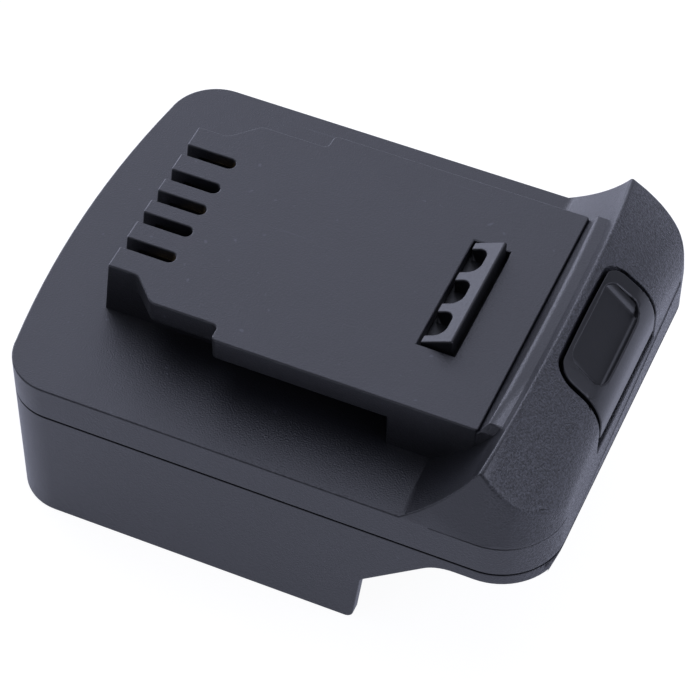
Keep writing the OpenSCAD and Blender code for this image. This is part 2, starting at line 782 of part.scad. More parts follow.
spring_path = helix(spring_z0 + spring_wire / 2, spring_z1 - spring_wire / 2,
    (spring_d - spring_wire) / 2, spring_turns, 8);
spring_self_gap = min([for (i = [0 : len(spring_path) - 1]) for (j = [i + 5 : 1 : len(spring_path) - 1])
    norm(spring_path[i] - spring_path[j])]) - spring_wire;
echo(spring_self_gap = spring_self_gap);

module coil(p, r, sides = 6) {
    n = len(p);
    points = [for (i = [0 : n - 1]) each coil_ring(p, i, r, sides)];
    walls = [for (i = [0 : n - 2]) for (k = [0 : sides - 1])
        let (a = i * sides + k, b = i * sides + (k + 1) % sides)
        each [[a, b + sides, b], [a, a + sides, b + sides]]];
    first = [for (k = [1 : sides - 2]) [0, k, k + 1]];
    last = [for (k = [1 : sides - 2]) (n - 1) * sides * [1, 1, 1] + [0, k + 1, k]];
    polyhedron(points, concat(walls, first, last));
}

module latch_springs() {
    color(steel) for (s = [-1, 1])
        translate([spring_x, s * spring_y, 0]) coil(spring_path, spring_wire / 2);
}

// Carrier that holds the tool contacts behind the slots
module contact_carrier() {
    combs = [for (s = [-1, 1]) each [s * inner_slot_y / 2, s * (inner_slot_y + outer_slot_y) / 2,
        s * (carrier_hw - comb_t / 2)]];
    color(nylon_black) difference() {
        union() {
            box([carrier_x0, -carrier_hw, carrier_z0], [carrier_x1, carrier_hw, carrier_z1]);
            for (y = combs)
                box([carrier_x0, y - comb_t / 2, carrier_z0], [carrier_x0 + comb_l, y + comb_t / 2,
                    carrier_z1 + contact_h]);
        }
        for (s = [-1, 1])
            translate([carrier_screw_x, s * carrier_screw_y, carrier_z0 - eps])
                cylinder(d = small_screw_d + screw_play, h = far);
    }
}

// Forked spring contact: two leaves that pinch near the mouth, and a solder tail
module tool_contact(y) {
    t = contact_t;
    half = [[0, contact_mouth], [contact_pinch_x, contact_pinch], [contact_l - t, contact_back]];
    outer = [[contact_l, contact_back + t], [contact_pinch_x, contact_pinch + t], [0, contact_mouth + t]];
    upper = concat(outer, half);
    lower = [for (i = [len(upper) - 1 : -1 : 0]) [upper[i][0], -upper[i][1]]];
    color(brass) translate([contact_x0, y, carrier_z1]) {
        linear_extrude(contact_h) polygon(concat(upper, lower));
        box([contact_l - t, -tail_hw, 0], [contact_l + tail_l, tail_hw, t]);
    }
}

module tool_contact_positive() {
    tool_contact(outer_slot_y);
}

module tool_contact_negative() {
    tool_contact(-outer_slot_y);
}

module tool_contact_signal() {
    tool_contact(0);
}

// Pan-head screw along Z: the head is above its seat, or below it when turned over
module screw(d, head_d, head_h, length, head_up = true) {
    cross_l = 0.65 * head_d;
    cross_t = 0.15 * head_d;
    rotate([head_up ? 0 : 180, 0, 0]) difference() {
        union() {
            cylinder(d = head_d, h = head_h);
            translate([0, 0, -length]) cylinder(d = d, h = length + eps / 2);
        }
        for (a = [0, 90]) rotate(a)
            translate([-cross_l / 2, -cross_t / 2, head_h / 2]) cube([cross_l, cross_t, head_h]);
    }
}

module carrier_screws() {
    color(steel) for (s = [-1, 1])
        translate([carrier_screw_x, s * carrier_screw_y, carrier_z0])
            screw(small_screw_d, small_head_d, small_head_h, carrier_t + carrier_grip, false);
}

// Block that carries the battery blades and drops through the floor
module terminal_block() {
    color(nylon_black) difference() {
        union() {
            translate([0, 0, block_z0]) linear_extrude(seam_z - block_z0) block_outline();
            translate([0, 0, seam_z]) linear_extrude(block_flange_t) {
                block_outline(block_lap);
                for (s = [-1, 1]) {
                    translate([ear_x, s * ear_y]) circle(ear_r);
                    translate([ear_x - ear_r, s > 0 ? block_hw : -ear_y])
                        square([2 * ear_r, ear_y - block_hw]);
                }
            }
        }
        for (y = [blade_y, -blade_y, -signal_blade_y]) blade(y, fit_gap / 2);
        for (s = [-1, 1])
            translate([ear_x, s * ear_y, seam_z - eps]) cylinder(d = small_screw_d + screw_play, h = far);
    }
}

// Flat blade with a solder tab that rises through the block, d larger all round
module blade(y, d = 0) {
    tip_x = block_cx + block_hl + blade_l;
    translate([0, y, 0]) across(blade_t / 2 + d)
        polygon([[tab_x0 - d, blade_z0 - d], [tip_x - blade_tip, blade_z0 - d], [tip_x, blade_z0 + blade_tip],
            [tip_x, blade_z1 - blade_tip], [tip_x - blade_tip, blade_z1 + d], [tab_x1 + d, blade_z1 + d],
            [tab_x1 + d, tab_z1 + d], [tab_x0 - d, tab_z1 + d]]);
}

module battery_blade_positive() {
    color(brass) blade(blade_y);
}

module battery_blade_negative() {
    color(brass) blade(-blade_y);
}

module battery_blade_signal() {
    color(brass) blade(-signal_blade_y);
}

module block_screws() {
    color(steel) for (s = [-1, 1])
        translate([ear_x, s * ear_y, seam_z + block_flange_t])
            screw(small_screw_d, small_head_d, small_head_h, block_screw_l);
}

module circuit_board() {
    color([0.1, 0.35, 0.2]) difference() {
        translate([0, 0, board_z0]) linear_extrude(board_t)
            rounded([for (c = [[0, -1], [1, -1], [1, 1], [0, 1]])
                [board_x0 + c[0] * board_l, c[1] * board_w / 2, board_corner_r]]);
        for (p = board_post_at)
            translate([p[0], p[1], board_z0 - eps]) cylinder(d = small_screw_d + screw_play, h = far);
    }
}

// Monitor chip: a moulded body with a row of legs on each side
module board_chip() {
    chip = [5, 4, 1.5];
    leg = [0.4, 1, 0.2];
    leg_pitch = 1.27;
    color([0.08, 0.08, 0.09]) translate([board_x0 + board_l / 2, 0, board_z1]) {
        translate([-chip[0] / 2, -chip[1] / 2, 0]) cube(chip);
        for (s = [0, 1]) mirror([0, s, 0]) for (k = [-1.5 : 1.5])
            translate([k * leg_pitch - leg[0] / 2, chip[1] / 2 - eps, 0]) cube(leg);
    }
}

// Pair of leaded resistors lying on the board
module board_resistors() {
    r = resistor_r;
    first = [board_x0 + resistor_inset[0], resistor_inset[1] - board_w / 2];
    ends = [(resistor_l - resistor_reach) / 2, (resistor_l + resistor_reach) / 2];
    color([0.76, 0.66, 0.48]) for (k = [0, 1])
        translate([first[0], first[1] + k * resistor_pitch, board_z1 + r]) {
            rotate([0, 90, 0]) cylinder(r = r, h = resistor_l);
            translate([ends[0], 0, 0]) rotate([0, 90, 0]) cylinder(r = resistor_wire_r, h = resistor_reach);
            for (x = ends)
                translate([x, 0, -r]) cylinder(r = resistor_wire_r, h = r + resistor_wire_r);
        }
}

module board_screws() {
    color(steel) for (p = board_post_at)
        translate([p[0], p[1], board_z1]) screw(small_screw_d, small_head_d, small_head_h, board_screw_l);
}

// Quarter bends of a lead in a plane across Y: centre, radius, first angle, turn
function bend(c, y, r, a0, a1) = [for (k = [0 : 5])
    let (a = a0 + (a1 - a0) * k / 5) [c[0] + r * cos(a), y, c[1] + r * sin(a)]];

lead_bend_r = 2.4;
lead_exit = 3;
lead_shift = 5;
lead_turn_x = carrier_x1 + lead_bend_r;
lead_z = tab_z1 - lead_d / 2 - lead_gap;
tail_z = carrier_z1 + lead_d / 2 + fit_gap;

// Route from a blade's tab, under the carrier and up to a contact's tail
function power_route(y0, y1) = concat(
    [[tab_x1 + fit_gap, y0, lead_z], [tab_x1 + lead_exit, y0, lead_z],
        [tab_x1 + lead_exit + lead_shift, (y0 + y1) / 2, lead_z],
        [tab_x1 + lead_exit + 2 * lead_shift, y1, lead_z]],
    bend([lead_turn_x - lead_bend_r, lead_z + lead_bend_r], y1, lead_bend_r, -90, 0),
    bend([lead_turn_x - lead_bend_r, tail_z - lead_bend_r], y1, lead_bend_r, 0, 90),
    [[tail_x1 + fit_gap, y1, tail_z]]);

module positive_lead() {
    color([0.7, 0.08, 0.07]) tube(power_route(blade_y, outer_slot_y), lead_d / 2);
}

module negative_lead() {
    color([0.06, 0.06, 0.07]) tube(power_route(-blade_y, -outer_slot_y), lead_d / 2);
}

// Signal leads: blade to board, and board to the middle contact
module signal_leads() {
    board_z = (board_z0 + board_z1) / 2;
    signal_z = carrier_z1 + signal_d / 2 + fit_gap;
    y0 = -signal_blade_y;
    exit = 2 * lead_exit;
    bend_x = lead_turn_x + lead_bend_r;
    color([0.85, 0.68, 0.12]) {
        tube([[tab_x1 + fit_gap, y0, lead_z], [tab_x1 + exit, y0, lead_z], [board_x0 - exit, y0, board_z],
            [board_x0 - fit_gap, y0, board_z]], signal_d / 2);
        tube(concat([[board_x0 - fit_gap, 0, board_z]],
            bend([bend_x, board_z + lead_bend_r], 0, lead_bend_r, 270, 180),
            bend([bend_x - 2 * lead_bend_r, signal_z - lead_bend_r], 0, lead_bend_r, 0, 90),
            [[tail_x1 + fit_gap, 0, signal_z]]), signal_d / 2);
    }
}

module shell_screws() {
    color(steel) for (p = screw_at)
        translate([p[0], p[1], seat_z])
            screw(screw_d, screw_head_d, screw_head_h, screw_tip_z - seat_z, false);
}

upper_shell();
lower_shell();
release_latch();
latch_springs();
contact_carrier();
tool_contact_positive();
tool_contact_negative();
tool_contact_signal();
carrier_screws();
terminal_block();
battery_blade_positive();
battery_blade_negative();
battery_blade_signal();
block_screws();
circuit_board();
board_chip();
board_resistors();
board_screws();
positive_lead();
negative_lead();
signal_leads();
shell_screws();
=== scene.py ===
import math
import bmesh
import bpy
from mathutils import Matrix, Vector


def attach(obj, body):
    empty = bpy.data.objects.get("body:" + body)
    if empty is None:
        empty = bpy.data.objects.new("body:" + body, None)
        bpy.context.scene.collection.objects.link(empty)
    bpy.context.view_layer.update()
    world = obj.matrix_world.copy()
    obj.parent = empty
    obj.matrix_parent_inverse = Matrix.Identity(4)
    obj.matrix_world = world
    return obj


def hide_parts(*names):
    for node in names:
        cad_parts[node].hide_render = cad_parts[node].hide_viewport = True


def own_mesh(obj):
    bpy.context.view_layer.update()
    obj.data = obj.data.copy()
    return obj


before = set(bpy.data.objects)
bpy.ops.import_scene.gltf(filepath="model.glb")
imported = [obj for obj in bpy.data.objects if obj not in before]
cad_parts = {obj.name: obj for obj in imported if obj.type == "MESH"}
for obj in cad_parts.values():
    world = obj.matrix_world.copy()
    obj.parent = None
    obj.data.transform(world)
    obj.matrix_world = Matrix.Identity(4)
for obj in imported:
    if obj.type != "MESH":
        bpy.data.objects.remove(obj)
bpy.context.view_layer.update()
scene = bpy.context.scene
scene.view_settings.view_transform = "Standard"
mm = 0.001
mergeGap = 1e-6  # metres, points closer than this are one
cutGap = 1e-7  # metres, slack of a cutting plane
plainWhite = (1.0, 1.0, 1.0)
print("frame loaded:", len(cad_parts), "nodes")

# camera at the photograph's angle, lengths in mm
cameraLook = {
    "azimuth": 23.279,
    "elevation": 50.041,
    "roll": 0.5,
    "distance": 503.206,
    "target": (1.2, -1.662, 22.7),
    "focalPixels": 2939.03,
    "framePixels": 700,
    "sensor": 36.0,
    "nearest": 10,
    "furthest": 20000,
}


def makeCamera(look):
    azimuth = math.radians(look["azimuth"])
    elevation = math.radians(look["elevation"])
    back = Vector((math.sin(azimuth) * math.cos(elevation), -math.cos(azimuth) * math.cos(elevation),
                   math.sin(elevation)))
    right = Vector((math.cos(azimuth), math.sin(azimuth), 0))
    turn = Matrix.Rotation(math.radians(look["roll"]), 3, back)
    right = turn @ right
    up = back.cross(right)
    data = bpy.data.cameras.new("camera")
    data.sensor_width = look["sensor"]
    data.lens = look["focalPixels"] / look["framePixels"] * look["sensor"]
    data.clip_start = look["nearest"] * mm
    data.clip_end = look["furthest"] * mm
    camera = bpy.data.objects.new("camera", data)
    scene.collection.objects.link(camera)
    place = Matrix((right, up, back)).transposed().to_4x4()
    place.translation = (Vector(look["target"]) + back * look["distance"]) * mm
    camera.matrix_world = place
    scene.camera = camera


makeCamera(cameraLook)
print("camera placed")


# small helpers for node materials
def newMaterial(name):
    material = bpy.data.materials.new(name)
    material.use_nodes = True
    return material, material.node_tree, material.node_tree.nodes["Principled BSDF"]


def addNode(tree, kind, values=None, **settings):
    node = tree.nodes.new(kind)
    for key, value in settings.items():
        setattr(node, key, value)
    for key, value in (values or {}).items():
        node.inputs[key].default_value = value
    return node


def addMath(tree, operation, *sockets):
    node = addNode(tree, "ShaderNodeMath", operation=operation)
    for place, socket in enumerate(sockets):
        tree.links.new(socket, node.inputs[place])
    return node.outputs[0]


def objectCoords(tree, stretch=None):
    coords = addNode(tree, "ShaderNodeTexCoord")
    if not stretch:
        return coords.outputs["Object"]
    mapping = addNode(tree, "ShaderNodeMapping", {"Scale": stretch})
    tree.links.new(coords.outputs["Object"], mapping.inputs["Vector"])
    return mapping.outputs["Vector"]


# noise of a given size in mm, its kind is detail and roughness
def noise(tree, vector, size, kind):
    return noiseScaled(tree, vector, 1 / (size * mm), kind)


def noiseScaled(tree, vector, scale, kind):
    detail, rough = kind
    node = addNode(tree, "ShaderNodeTexNoise", {"Scale": scale, "Detail": detail, "Roughness": rough})
    tree.links.new(vector, node.inputs["Vector"])
    return node.outputs["Fac"]


# two colours that fade into each other over a span of the noise
def ramp(tree, fac, span, *colours):
    node = addNode(tree, "ShaderNodeValToRGB")
    for element, place, colour in zip(node.color_ramp.elements, span, colours):
        element.position = place
        element.color = (*colour, 1)
    tree.links.new(fac, node.inputs["Fac"])
    return node.outputs["Color"]


def mapRange(tree, fac, low, high, span=(0.0, 1.0)):
    node = addNode(tree, "ShaderNodeMapRange", {"From Min": span[0], "From Max": span[1],
                                                "To Min": low, "To Max": high})
    tree.links.new(fac, node.inputs["Value"])
    return node.outputs["Result"]


def mixColour(tree, fac, first, second):
    node = addNode(tree, "ShaderNodeMix", data_type="RGBA")
    tree.links.new(fac, node.inputs["Factor"])
    for place, value in (("A", first), ("B", second)):
        if isinstance(value, bpy.types.NodeSocket):
            tree.links.new(value, node.inputs[place])
        else:
            node.inputs[place].default_value = (*value, 1)
    return node.outputs["Result"]


# bumps laid over each other: height, strength, depth in mm
def addBump(tree, shader, layers):
    normal = None
    for height, strength, depth in layers:
        node = addNode(tree, "ShaderNodeBump", {"Distance": depth * mm})
        if isinstance(strength, bpy.types.NodeSocket):
            tree.links.new(strength, node.inputs["Strength"])
        else:
            node.inputs["Strength"].default_value = strength
        tree.links.new(height, node.inputs["Height"])
        if normal:
            tree.links.new(normal, node.inputs["Normal"])
        normal = node.outputs["Normal"]
    tree.links.new(normal, shader.inputs["Normal"])


def grey(level, tint=plainWhite):
    return tuple(level * t for t in tint)


# moulded plastic: spark-eroded grain, faint mottling, pale dust specks and hair scratches, and on the thumb
# slope painted shade in the coarse grain's pits with painted sparkle on its crests
mouldedWear = {
    "grainKind": (2.0, 0.6), "grainSpan": (0.3, 0.7),
    "mottleKind": (4.0, 0.55), "mottleSpan": (0.3, 0.7), "mottleBump": 0.1, "mottleDepth": 0.05,
    "speckKind": (1.0, 0.3), "speckFade": 0.06,
    "scratchKind": (2.0, 0.5), "scratchSpan": (0.74, 0.8), "scratchStretch": (40, 1400, 900),
    "coarseKind": (2.0, 0.5), "coarseFade": 1.2, "coarseSideFade": 5,
    # the first pit span spreads the painted pit shade and sparkle over the coarse grain
    "pitShadeSparkleSpan": (0.36, 0.64), "pitRoughSpan": (0.35, 0.65),
}


# share of the thumb slope's coarse grain and its painted pit shade and sparkle: it starts along the part and
# fades out towards its sides
def coarseShare(tree, vector, look, wear):
    places = addNode(tree, "ShaderNodeSeparateXYZ")
    tree.links.new(vector, places.inputs["Vector"])
    start, halfWidth = look["coarseFrom"], look["coarseWide"]
    along = mapRange(tree, places.outputs["X"], 0.0, look["coarseBump"],
                     (start * mm, (start + wear["coarseFade"]) * mm))
    side = addMath(tree, "ABSOLUTE", places.outputs["Y"])
    inside = mapRange(tree, side, 1.0, 0.0, (halfWidth * mm, (halfWidth + wear["coarseSideFade"]) * mm))
    return addMath(tree, "MULTIPLY", along, inside)


def mouldedPlastic(name, look, wear=mouldedWear):
    material, tree, shader = newMaterial(name)
    vector = objectCoords(tree)
    tint = look["tint"]
    dustColour = grey(look["dustGrey"], tint)
    grain = noise(tree, vector, look["grain"], wear["grainKind"])
    mottle = noise(tree, vector, look["mottle"], wear["mottleKind"])
    speck = noise(tree, vector, look["speck"], wear["speckKind"])
    scratch = noiseScaled(tree, objectCoords(tree, wear["scratchStretch"]), 1.0, wear["scratchKind"])
    colour = ramp(tree, mottle, wear["mottleSpan"], grey(look["dark"], tint), grey(look["light"], tint))
    speckSpan = (look["dustFrom"], look["dustFrom"] + wear["speckFade"])
    dust = mapRange(tree, speck, 0.0, look["dust"], speckSpan)
    hairs = mapRange(tree, scratch, 0.0, look["scratch"], wear["scratchSpan"])
    colour = mixColour(tree, dust, colour, dustColour)
    colour = mixColour(tree, hairs, colour, dustColour)
    rough = mapRange(tree, grain, look["smooth"], look["rough"], wear["grainSpan"])
    shader.inputs["IOR"].default_value = look["index"]
    layers = [(grain, look["grainBump"], look["grainDepth"]),
              (mottle, wear["mottleBump"], wear["mottleDepth"])]
    if "coarseFrom" in look:  # the thumb slope has a much coarser grain than the rest
        coarse = noise(tree, vector, look["coarseGrain"], wear["coarseKind"])
        share = coarseShare(tree, vector, look, wear)
        layers.append((coarse, share, look["coarseDepth"]))
        # painted shade in the coarse grain's pits and painted sparkle on its crests, laid into the colour on
        # the thumb slope
        paintedPitShadeAndSparkle = ramp(tree, coarse, wear["pitShadeSparkleSpan"],
                       grey(look["pitPaintedShade"], tint), grey(look["pitPaintedSparkle"], tint))
        colour = mixColour(tree, share, colour, paintedPitShadeAndSparkle)
        pits = mapRange(tree, coarse, look["pitRough"], look["pitSmooth"], wear["pitRoughSpan"])
        level = addNode(tree, "ShaderNodeMix", data_type="FLOAT")
        for place, value in (("Factor", share), ("A", rough), ("B", pits)):
            tree.links.new(value, level.inputs[place])
        rough = level.outputs["Result"]
    tree.links.new(colour, shader.inputs["Base Color"])
    tree.links.new(rough, shader.inputs["Roughness"])
    addBump(tree, shader, layers)
    return material


# sizes and depths in mm, greys as reflected share
shellLook = {
    "dark": 0.0085, "light": 0.0105, "tint": (0.94, 0.98, 1.2), "mottle": 9.0,
    "grain": 0.3, "grainDepth": 0.08, "grainBump": 1.0, "smooth": 0.32, "rough": 0.4, "index": 1.58,
    "speck": 1.6, "dust": 0.4, "dustFrom": 0.78, "dustGrey": 0.08, "scratch": 0.2,
    "coarseFrom": 38.2, "coarseWide": 33, "coarseGrain": 0.32, "coarseDepth": 0.22, "coarseBump": 1.0,
    # the two pit greys are painted shade in the coarse grain's pits and painted sparkle on its crests
    "pitSmooth": 0.28, "pitRough": 0.5, "pitPaintedShade": 0.0, "pitPaintedSparkle": 0.03,
}
latchLook = {
    "dark": 0.0055, "light": 0.007, "tint": (0.96, 1.0, 1.12), "mottle": 6.0,
    "grain": 0.34, "grainDepth": 0.03, "grainBump": 0.4, "smooth": 0.32, "rough": 0.4, "index": 1.47,
    "speck": 1.2, "dust": 0.3, "dustFrom": 0.79, "dustGrey": 0.06, "scratch": 0.15,
}
nylonLook = {
    "dark": 0.012, "light": 0.018, "tint": (1.0, 1.0, 1.02), "mottle": 4.0,
    "grain": 0.5, "grainDepth": 0.04, "grainBump": 0.3, "smooth": 0.45, "rough": 0.65, "index": 1.53,
    "speck": 0.7, "dust": 0.3, "dustFrom": 0.78, "dustGrey": 0.06, "scratch": 0.1,
}
chipLook = {
    "dark": 0.012, "light": 0.018, "tint": plainWhite, "mottle": 1.5,
    "grain": 0.2, "grainDepth": 0.02, "grainBump": 0.3, "smooth": 0.5, "rough": 0.7, "index": 1.5,
    "speck": 0.5, "dust": 0.2, "dustFrom": 0.8, "dustGrey": 0.05, "scratch": 0.1,
}
shellPlastic = mouldedPlastic("shellPlastic", shellLook)
latchPlastic = mouldedPlastic("latchPlastic", latchLook)
nylonPlastic = mouldedPlastic("nylonPlastic", nylonLook)
chipEpoxy = mouldedPlastic("chipEpoxy", chipLook)

# metal with drawn lines along one direction and a little tarnish
drawnWear = {"lineKind": (2.0, 0.6), "stainKind": (3.0, 0.6), "stainSpan": (0.35, 0.65), "lineShade": 0.3,
             "lineBump": 0.15, "lineDepth": 0.01}


def drawnMetal(name, look, wear=drawnWear):
    material, tree, shader = newMaterial(name)
    lines = noiseScaled(tree, objectCoords(tree, look["lines"]), 1.0, wear["lineKind"])
    stain = noise(tree, objectCoords(tree), look["stain"], wear["stainKind"])
    tone = ramp(tree, stain, wear["stainSpan"], look["deep"], look["bright"])
    shade = mapRange(tree, lines, 0.0, wear["lineShade"])
    tree.links.new(mixColour(tree, shade, tone, look["deep"]), shader.inputs["Base Color"])
    tree.links.new(mapRange(tree, lines, look["smooth"], look["rough"]), shader.inputs["Roughness"])
    shader.inputs["Metallic"].default_value = 1.0
    addBump(tree, shader, [(lines, wear["lineBump"], wear["lineDepth"])])
    return material


steelLook = {"lines": (2500, 2500, 250), "stain": 1.5, "smooth": 0.24, "rough": 0.42,
             "deep": (0.42, 0.43, 0.45), "bright": (0.62, 0.63, 0.65)}
brassLook = {"lines": (300, 3000, 3000), "stain": 2.5, "smooth": 0.2, "rough": 0.4,
             "deep": (0.5, 0.33, 0.12), "bright": (0.72, 0.52, 0.23)}
brightSteel = drawnMetal("brightSteel", steelLook)
stampedBrass = drawnMetal("stampedBrass", brassLook)

# solder mask over faint copper tracks
boardLook = {"pitch": 6.0, "trackWidth": 0.03, "trackBump": 0.3, "trackDepth": 0.02,
             "track": (0.02, 0.13, 0.05), "dark": (0.006, 0.05, 0.02), "light": (0.01, 0.075, 0.03),
             "cloud": 3.0, "cloudKind": (3.0, 0.6), "cloudSpan": (0.3, 0.7), "smooth": 0.18, "rough": 0.34}


def boardMask(look):
    material, tree, shader = newMaterial("boardMask")
    vector = objectCoords(tree)
    tracks = addNode(tree, "ShaderNodeTexBrick", {
        "Scale": 1 / (look["pitch"] * mm), "Mortar Size": look["trackWidth"],
        "Color1": (1, 1, 1, 1), "Color2": (1, 1, 1, 1), "Mortar": (0, 0, 0, 1)})
    tree.links.new(vector, tracks.inputs["Vector"])
    cloud = noise(tree, vector, look["cloud"], look["cloudKind"])
    base = ramp(tree, cloud, look["cloudSpan"], look["dark"], look["light"])
    tree.links.new(mixColour(tree, tracks.outputs["Fac"], base, look["track"]), shader.inputs["Base Color"])
    tree.links.new(mapRange(tree, cloud, look["smooth"], look["rough"]), shader.inputs["Roughness"])
    addBump(tree, shader, [(tracks.outputs["Fac"], look["trackBump"], look["trackDepth"])])
    return material


greenMask = boardMask(boardLook)

# resistor lacquer with generic colour rings along the body
resistorLook = {"ringPitch": 1.4, "ringSpan": (0.86, 0.92), "ringWander": 0.4, "ringDetail": 1.0,
                "ring": (0.25, 0.05, 0.02), "cloud": 0.6, "cloudKind": (2.0, 0.5), "cloudSpan": (0.3, 0.7),
                "bodyDark": (0.5, 0.38, 0.2), "bodyLight": (0.6, 0.47, 0.28), "smooth": 0.3, "rough": 0.45,
                "bump": 0.15, "depth": 0.02}
waveLength = 0.31  # of the wave texture at a scale of 1


def ringedLacquer(look):
    material, tree, shader = newMaterial("ringedLacquer")
    wave = addNode(tree, "ShaderNodeTexWave", {
        "Scale": waveLength / (look["ringPitch"] * mm), "Distortion": look["ringWander"],
        "Detail": look["ringDetail"]}, bands_direction="X")
    tree.links.new(objectCoords(tree), wave.inputs["Vector"])
    cloud = noise(tree, objectCoords(tree), look["cloud"], look["cloudKind"])
    body = ramp(tree, cloud, look["cloudSpan"], look["bodyDark"], look["bodyLight"])
    ring = mapRange(tree, wave.outputs["Fac"], 0.0, 1.0, look["ringSpan"])
    tree.links.new(mixColour(tree, ring, body, look["ring"]), shader.inputs["Base Color"])
    tree.links.new(mapRange(tree, cloud, look["smooth"], look["rough"]), shader.inputs["Roughness"])
    addBump(tree, shader, [(cloud, look["bump"], look["depth"])])
    return material


resistorLacquer = ringedLacquer(resistorLook)

# lead insulation: soft vinyl with a slight flow line
vinylLook = {"flowStretch": (120, 900, 900), "flowKind": (2.0, 0.5), "flowSpan": (0.3, 0.7), "smooth": 0.38,
             "rough": 0.52, "bump": 0.2, "depth": 0.02}
leadColours = {
    "positive_lead": ("redVinyl", (0.3, 0.012, 0.01), (0.42, 0.02, 0.016)),
    "negative_lead": ("blackVinyl", (0.012, 0.012, 0.013), (0.022, 0.022, 0.024)),
    "signal_leads": ("yellowVinyl", (0.6, 0.38, 0.015), (0.72, 0.48, 0.03)),
}


def vinylSleeve(name, dark, light, look):
    material, tree, shader = newMaterial(name)
    flow = noiseScaled(tree, objectCoords(tree, look["flowStretch"]), 1.0, look["flowKind"])
    tree.links.new(ramp(tree, flow, look["flowSpan"], dark, light), shader.inputs["Base Color"])
    tree.links.new(mapRange(tree, flow, look["smooth"], look["rough"]), shader.inputs["Roughness"])
    addBump(tree, shader, [(flow, look["bump"], look["depth"])])
    return material


finishes = {
    "upper_shell": shellPlastic, "lower_shell": shellPlastic, "release_latch": latchPlastic,
    "contact_carrier": nylonPlastic, "terminal_block": nylonPlastic,
    "latch_springs": brightSteel, "carrier_screws": brightSteel, "block_screws": brightSteel,
    "board_screws": brightSteel, "shell_screws": brightSteel,
    "tool_contact_positive": stampedBrass, "tool_contact_negative": stampedBrass,
    "tool_contact_signal": stampedBrass, "battery_blade_positive": stampedBrass,
    "battery_blade_negative": stampedBrass, "battery_blade_signal": stampedBrass,
    "circuit_board": greenMask, "board_chip": chipEpoxy, "board_resistors": resistorLacquer,
}
for nodeName, (materialName, dark, light) in leadColours.items():
    finishes[nodeName] = vinylSleeve(materialName, dark, light, vinylLook)
for nodeName, material in finishes.items():
    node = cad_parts[nodeName]
    node.data.materials.clear()
    node.data.materials.append(material)
print("finishes set on", len(finishes), "nodes")


# a bmesh copy of a CAD node with its loose triangles joined
def mergedCopy(nodeName):
    bm = bmesh.new()
    bm.from_mesh(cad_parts[nodeName].data)
    bmesh.ops.remove_doubles(bm, verts=bm.verts, dist=mergeGap)
    return bm


# the finished bmesh as a smooth-shaded piece with its node's finish
def makePiece(bm, pieceName, nodeName):
    mesh = bpy.data.meshes.new(pieceName)
    bm.to_mesh(mesh)
    bm.free()
    mesh.materials.append(finishes[nodeName])
    mesh.polygons.foreach_set("use_smooth", [True] * len(mesh.polygons))
    piece = bpy.data.objects.new(pieceName, mesh)
    scene.collection.objects.link(piece)
    return piece


def clampShare(value, start, end):
    return min(1, max(0, (value - start) / (end - start)))


# width of an edge's rounding: the first rule whose box holds the edge gives it, the boxes are the same
# on both sides of the part, and a width of four values goes from near to far between two places across it
def edgeWidth(edge, rules):
    middle = (edge.verts[0].co + edge.verts[1].co) / (2 * mm)
    middle.y = abs(middle.y)
    for width, low, high in rules:
        if all(low[k] <= middle[k] <= high[k] for k in range(3)):
            if isinstance(width, tuple):
                near, far, start, end = width
                return near + (far - near) * clampShare(middle.y, start, end)
            return width
    return 0


# edges of one rounded crease, followed from a place on it until it runs out into the surface
def creaseChain(bm, chain):
    place = Vector(chain["start"]) * mm
    straightOn, sharpEnough = math.radians(chain["turn"]), math.radians(chain["flattest"])

    def turn(edge, vert, heading):
        return (edge.other_vert(vert).co - vert.co).angle(heading, math.pi)

    first = min(bm.edges, key=lambda edge: ((edge.verts[0].co + edge.verts[1].co) / 2 - place).length)
    edges = [first]
    for vert in list(first.verts):
        last = first
        while True:
            heading = vert.co - last.other_vert(vert).co
            ahead = [edge for edge in vert.link_edges
                     if edge not in edges and turn(edge, vert, heading) < straightOn
                     and edge.calc_face_angle_signed(0) > sharpEnough]
            if not ahead:
                break
            last = max(ahead, key=lambda edge: edge.calc_face_angle_signed(0))
            edges.append(last)
            vert = last.other_vert(vert)
    return edges


# facet lines that leave a crease at a flat angle go, so that the rounding isn't folded over them
def mergeAlongside(bm, crease, reach, start):
    sharp = {edge for edge in bm.edges if edge.calc_face_angle_signed(0) > crease}
    marked = []
    for edge in bm.edges:
        if abs(edge.calc_face_angle_signed(0)) > crease or min(vert.co.x for vert in edge.verts) < start:
            continue
        for vert in edge.verts:
            heading = edge.other_vert(vert).co - vert.co
            if any(heading.angle(other.other_vert(vert).co - vert.co, math.pi) < reach
                   for other in vert.link_edges if other in sharp):
                marked.append(edge)
                break
    bmesh.ops.dissolve_edges(bm, edges=marked, use_verts=False, use_face_split=False)


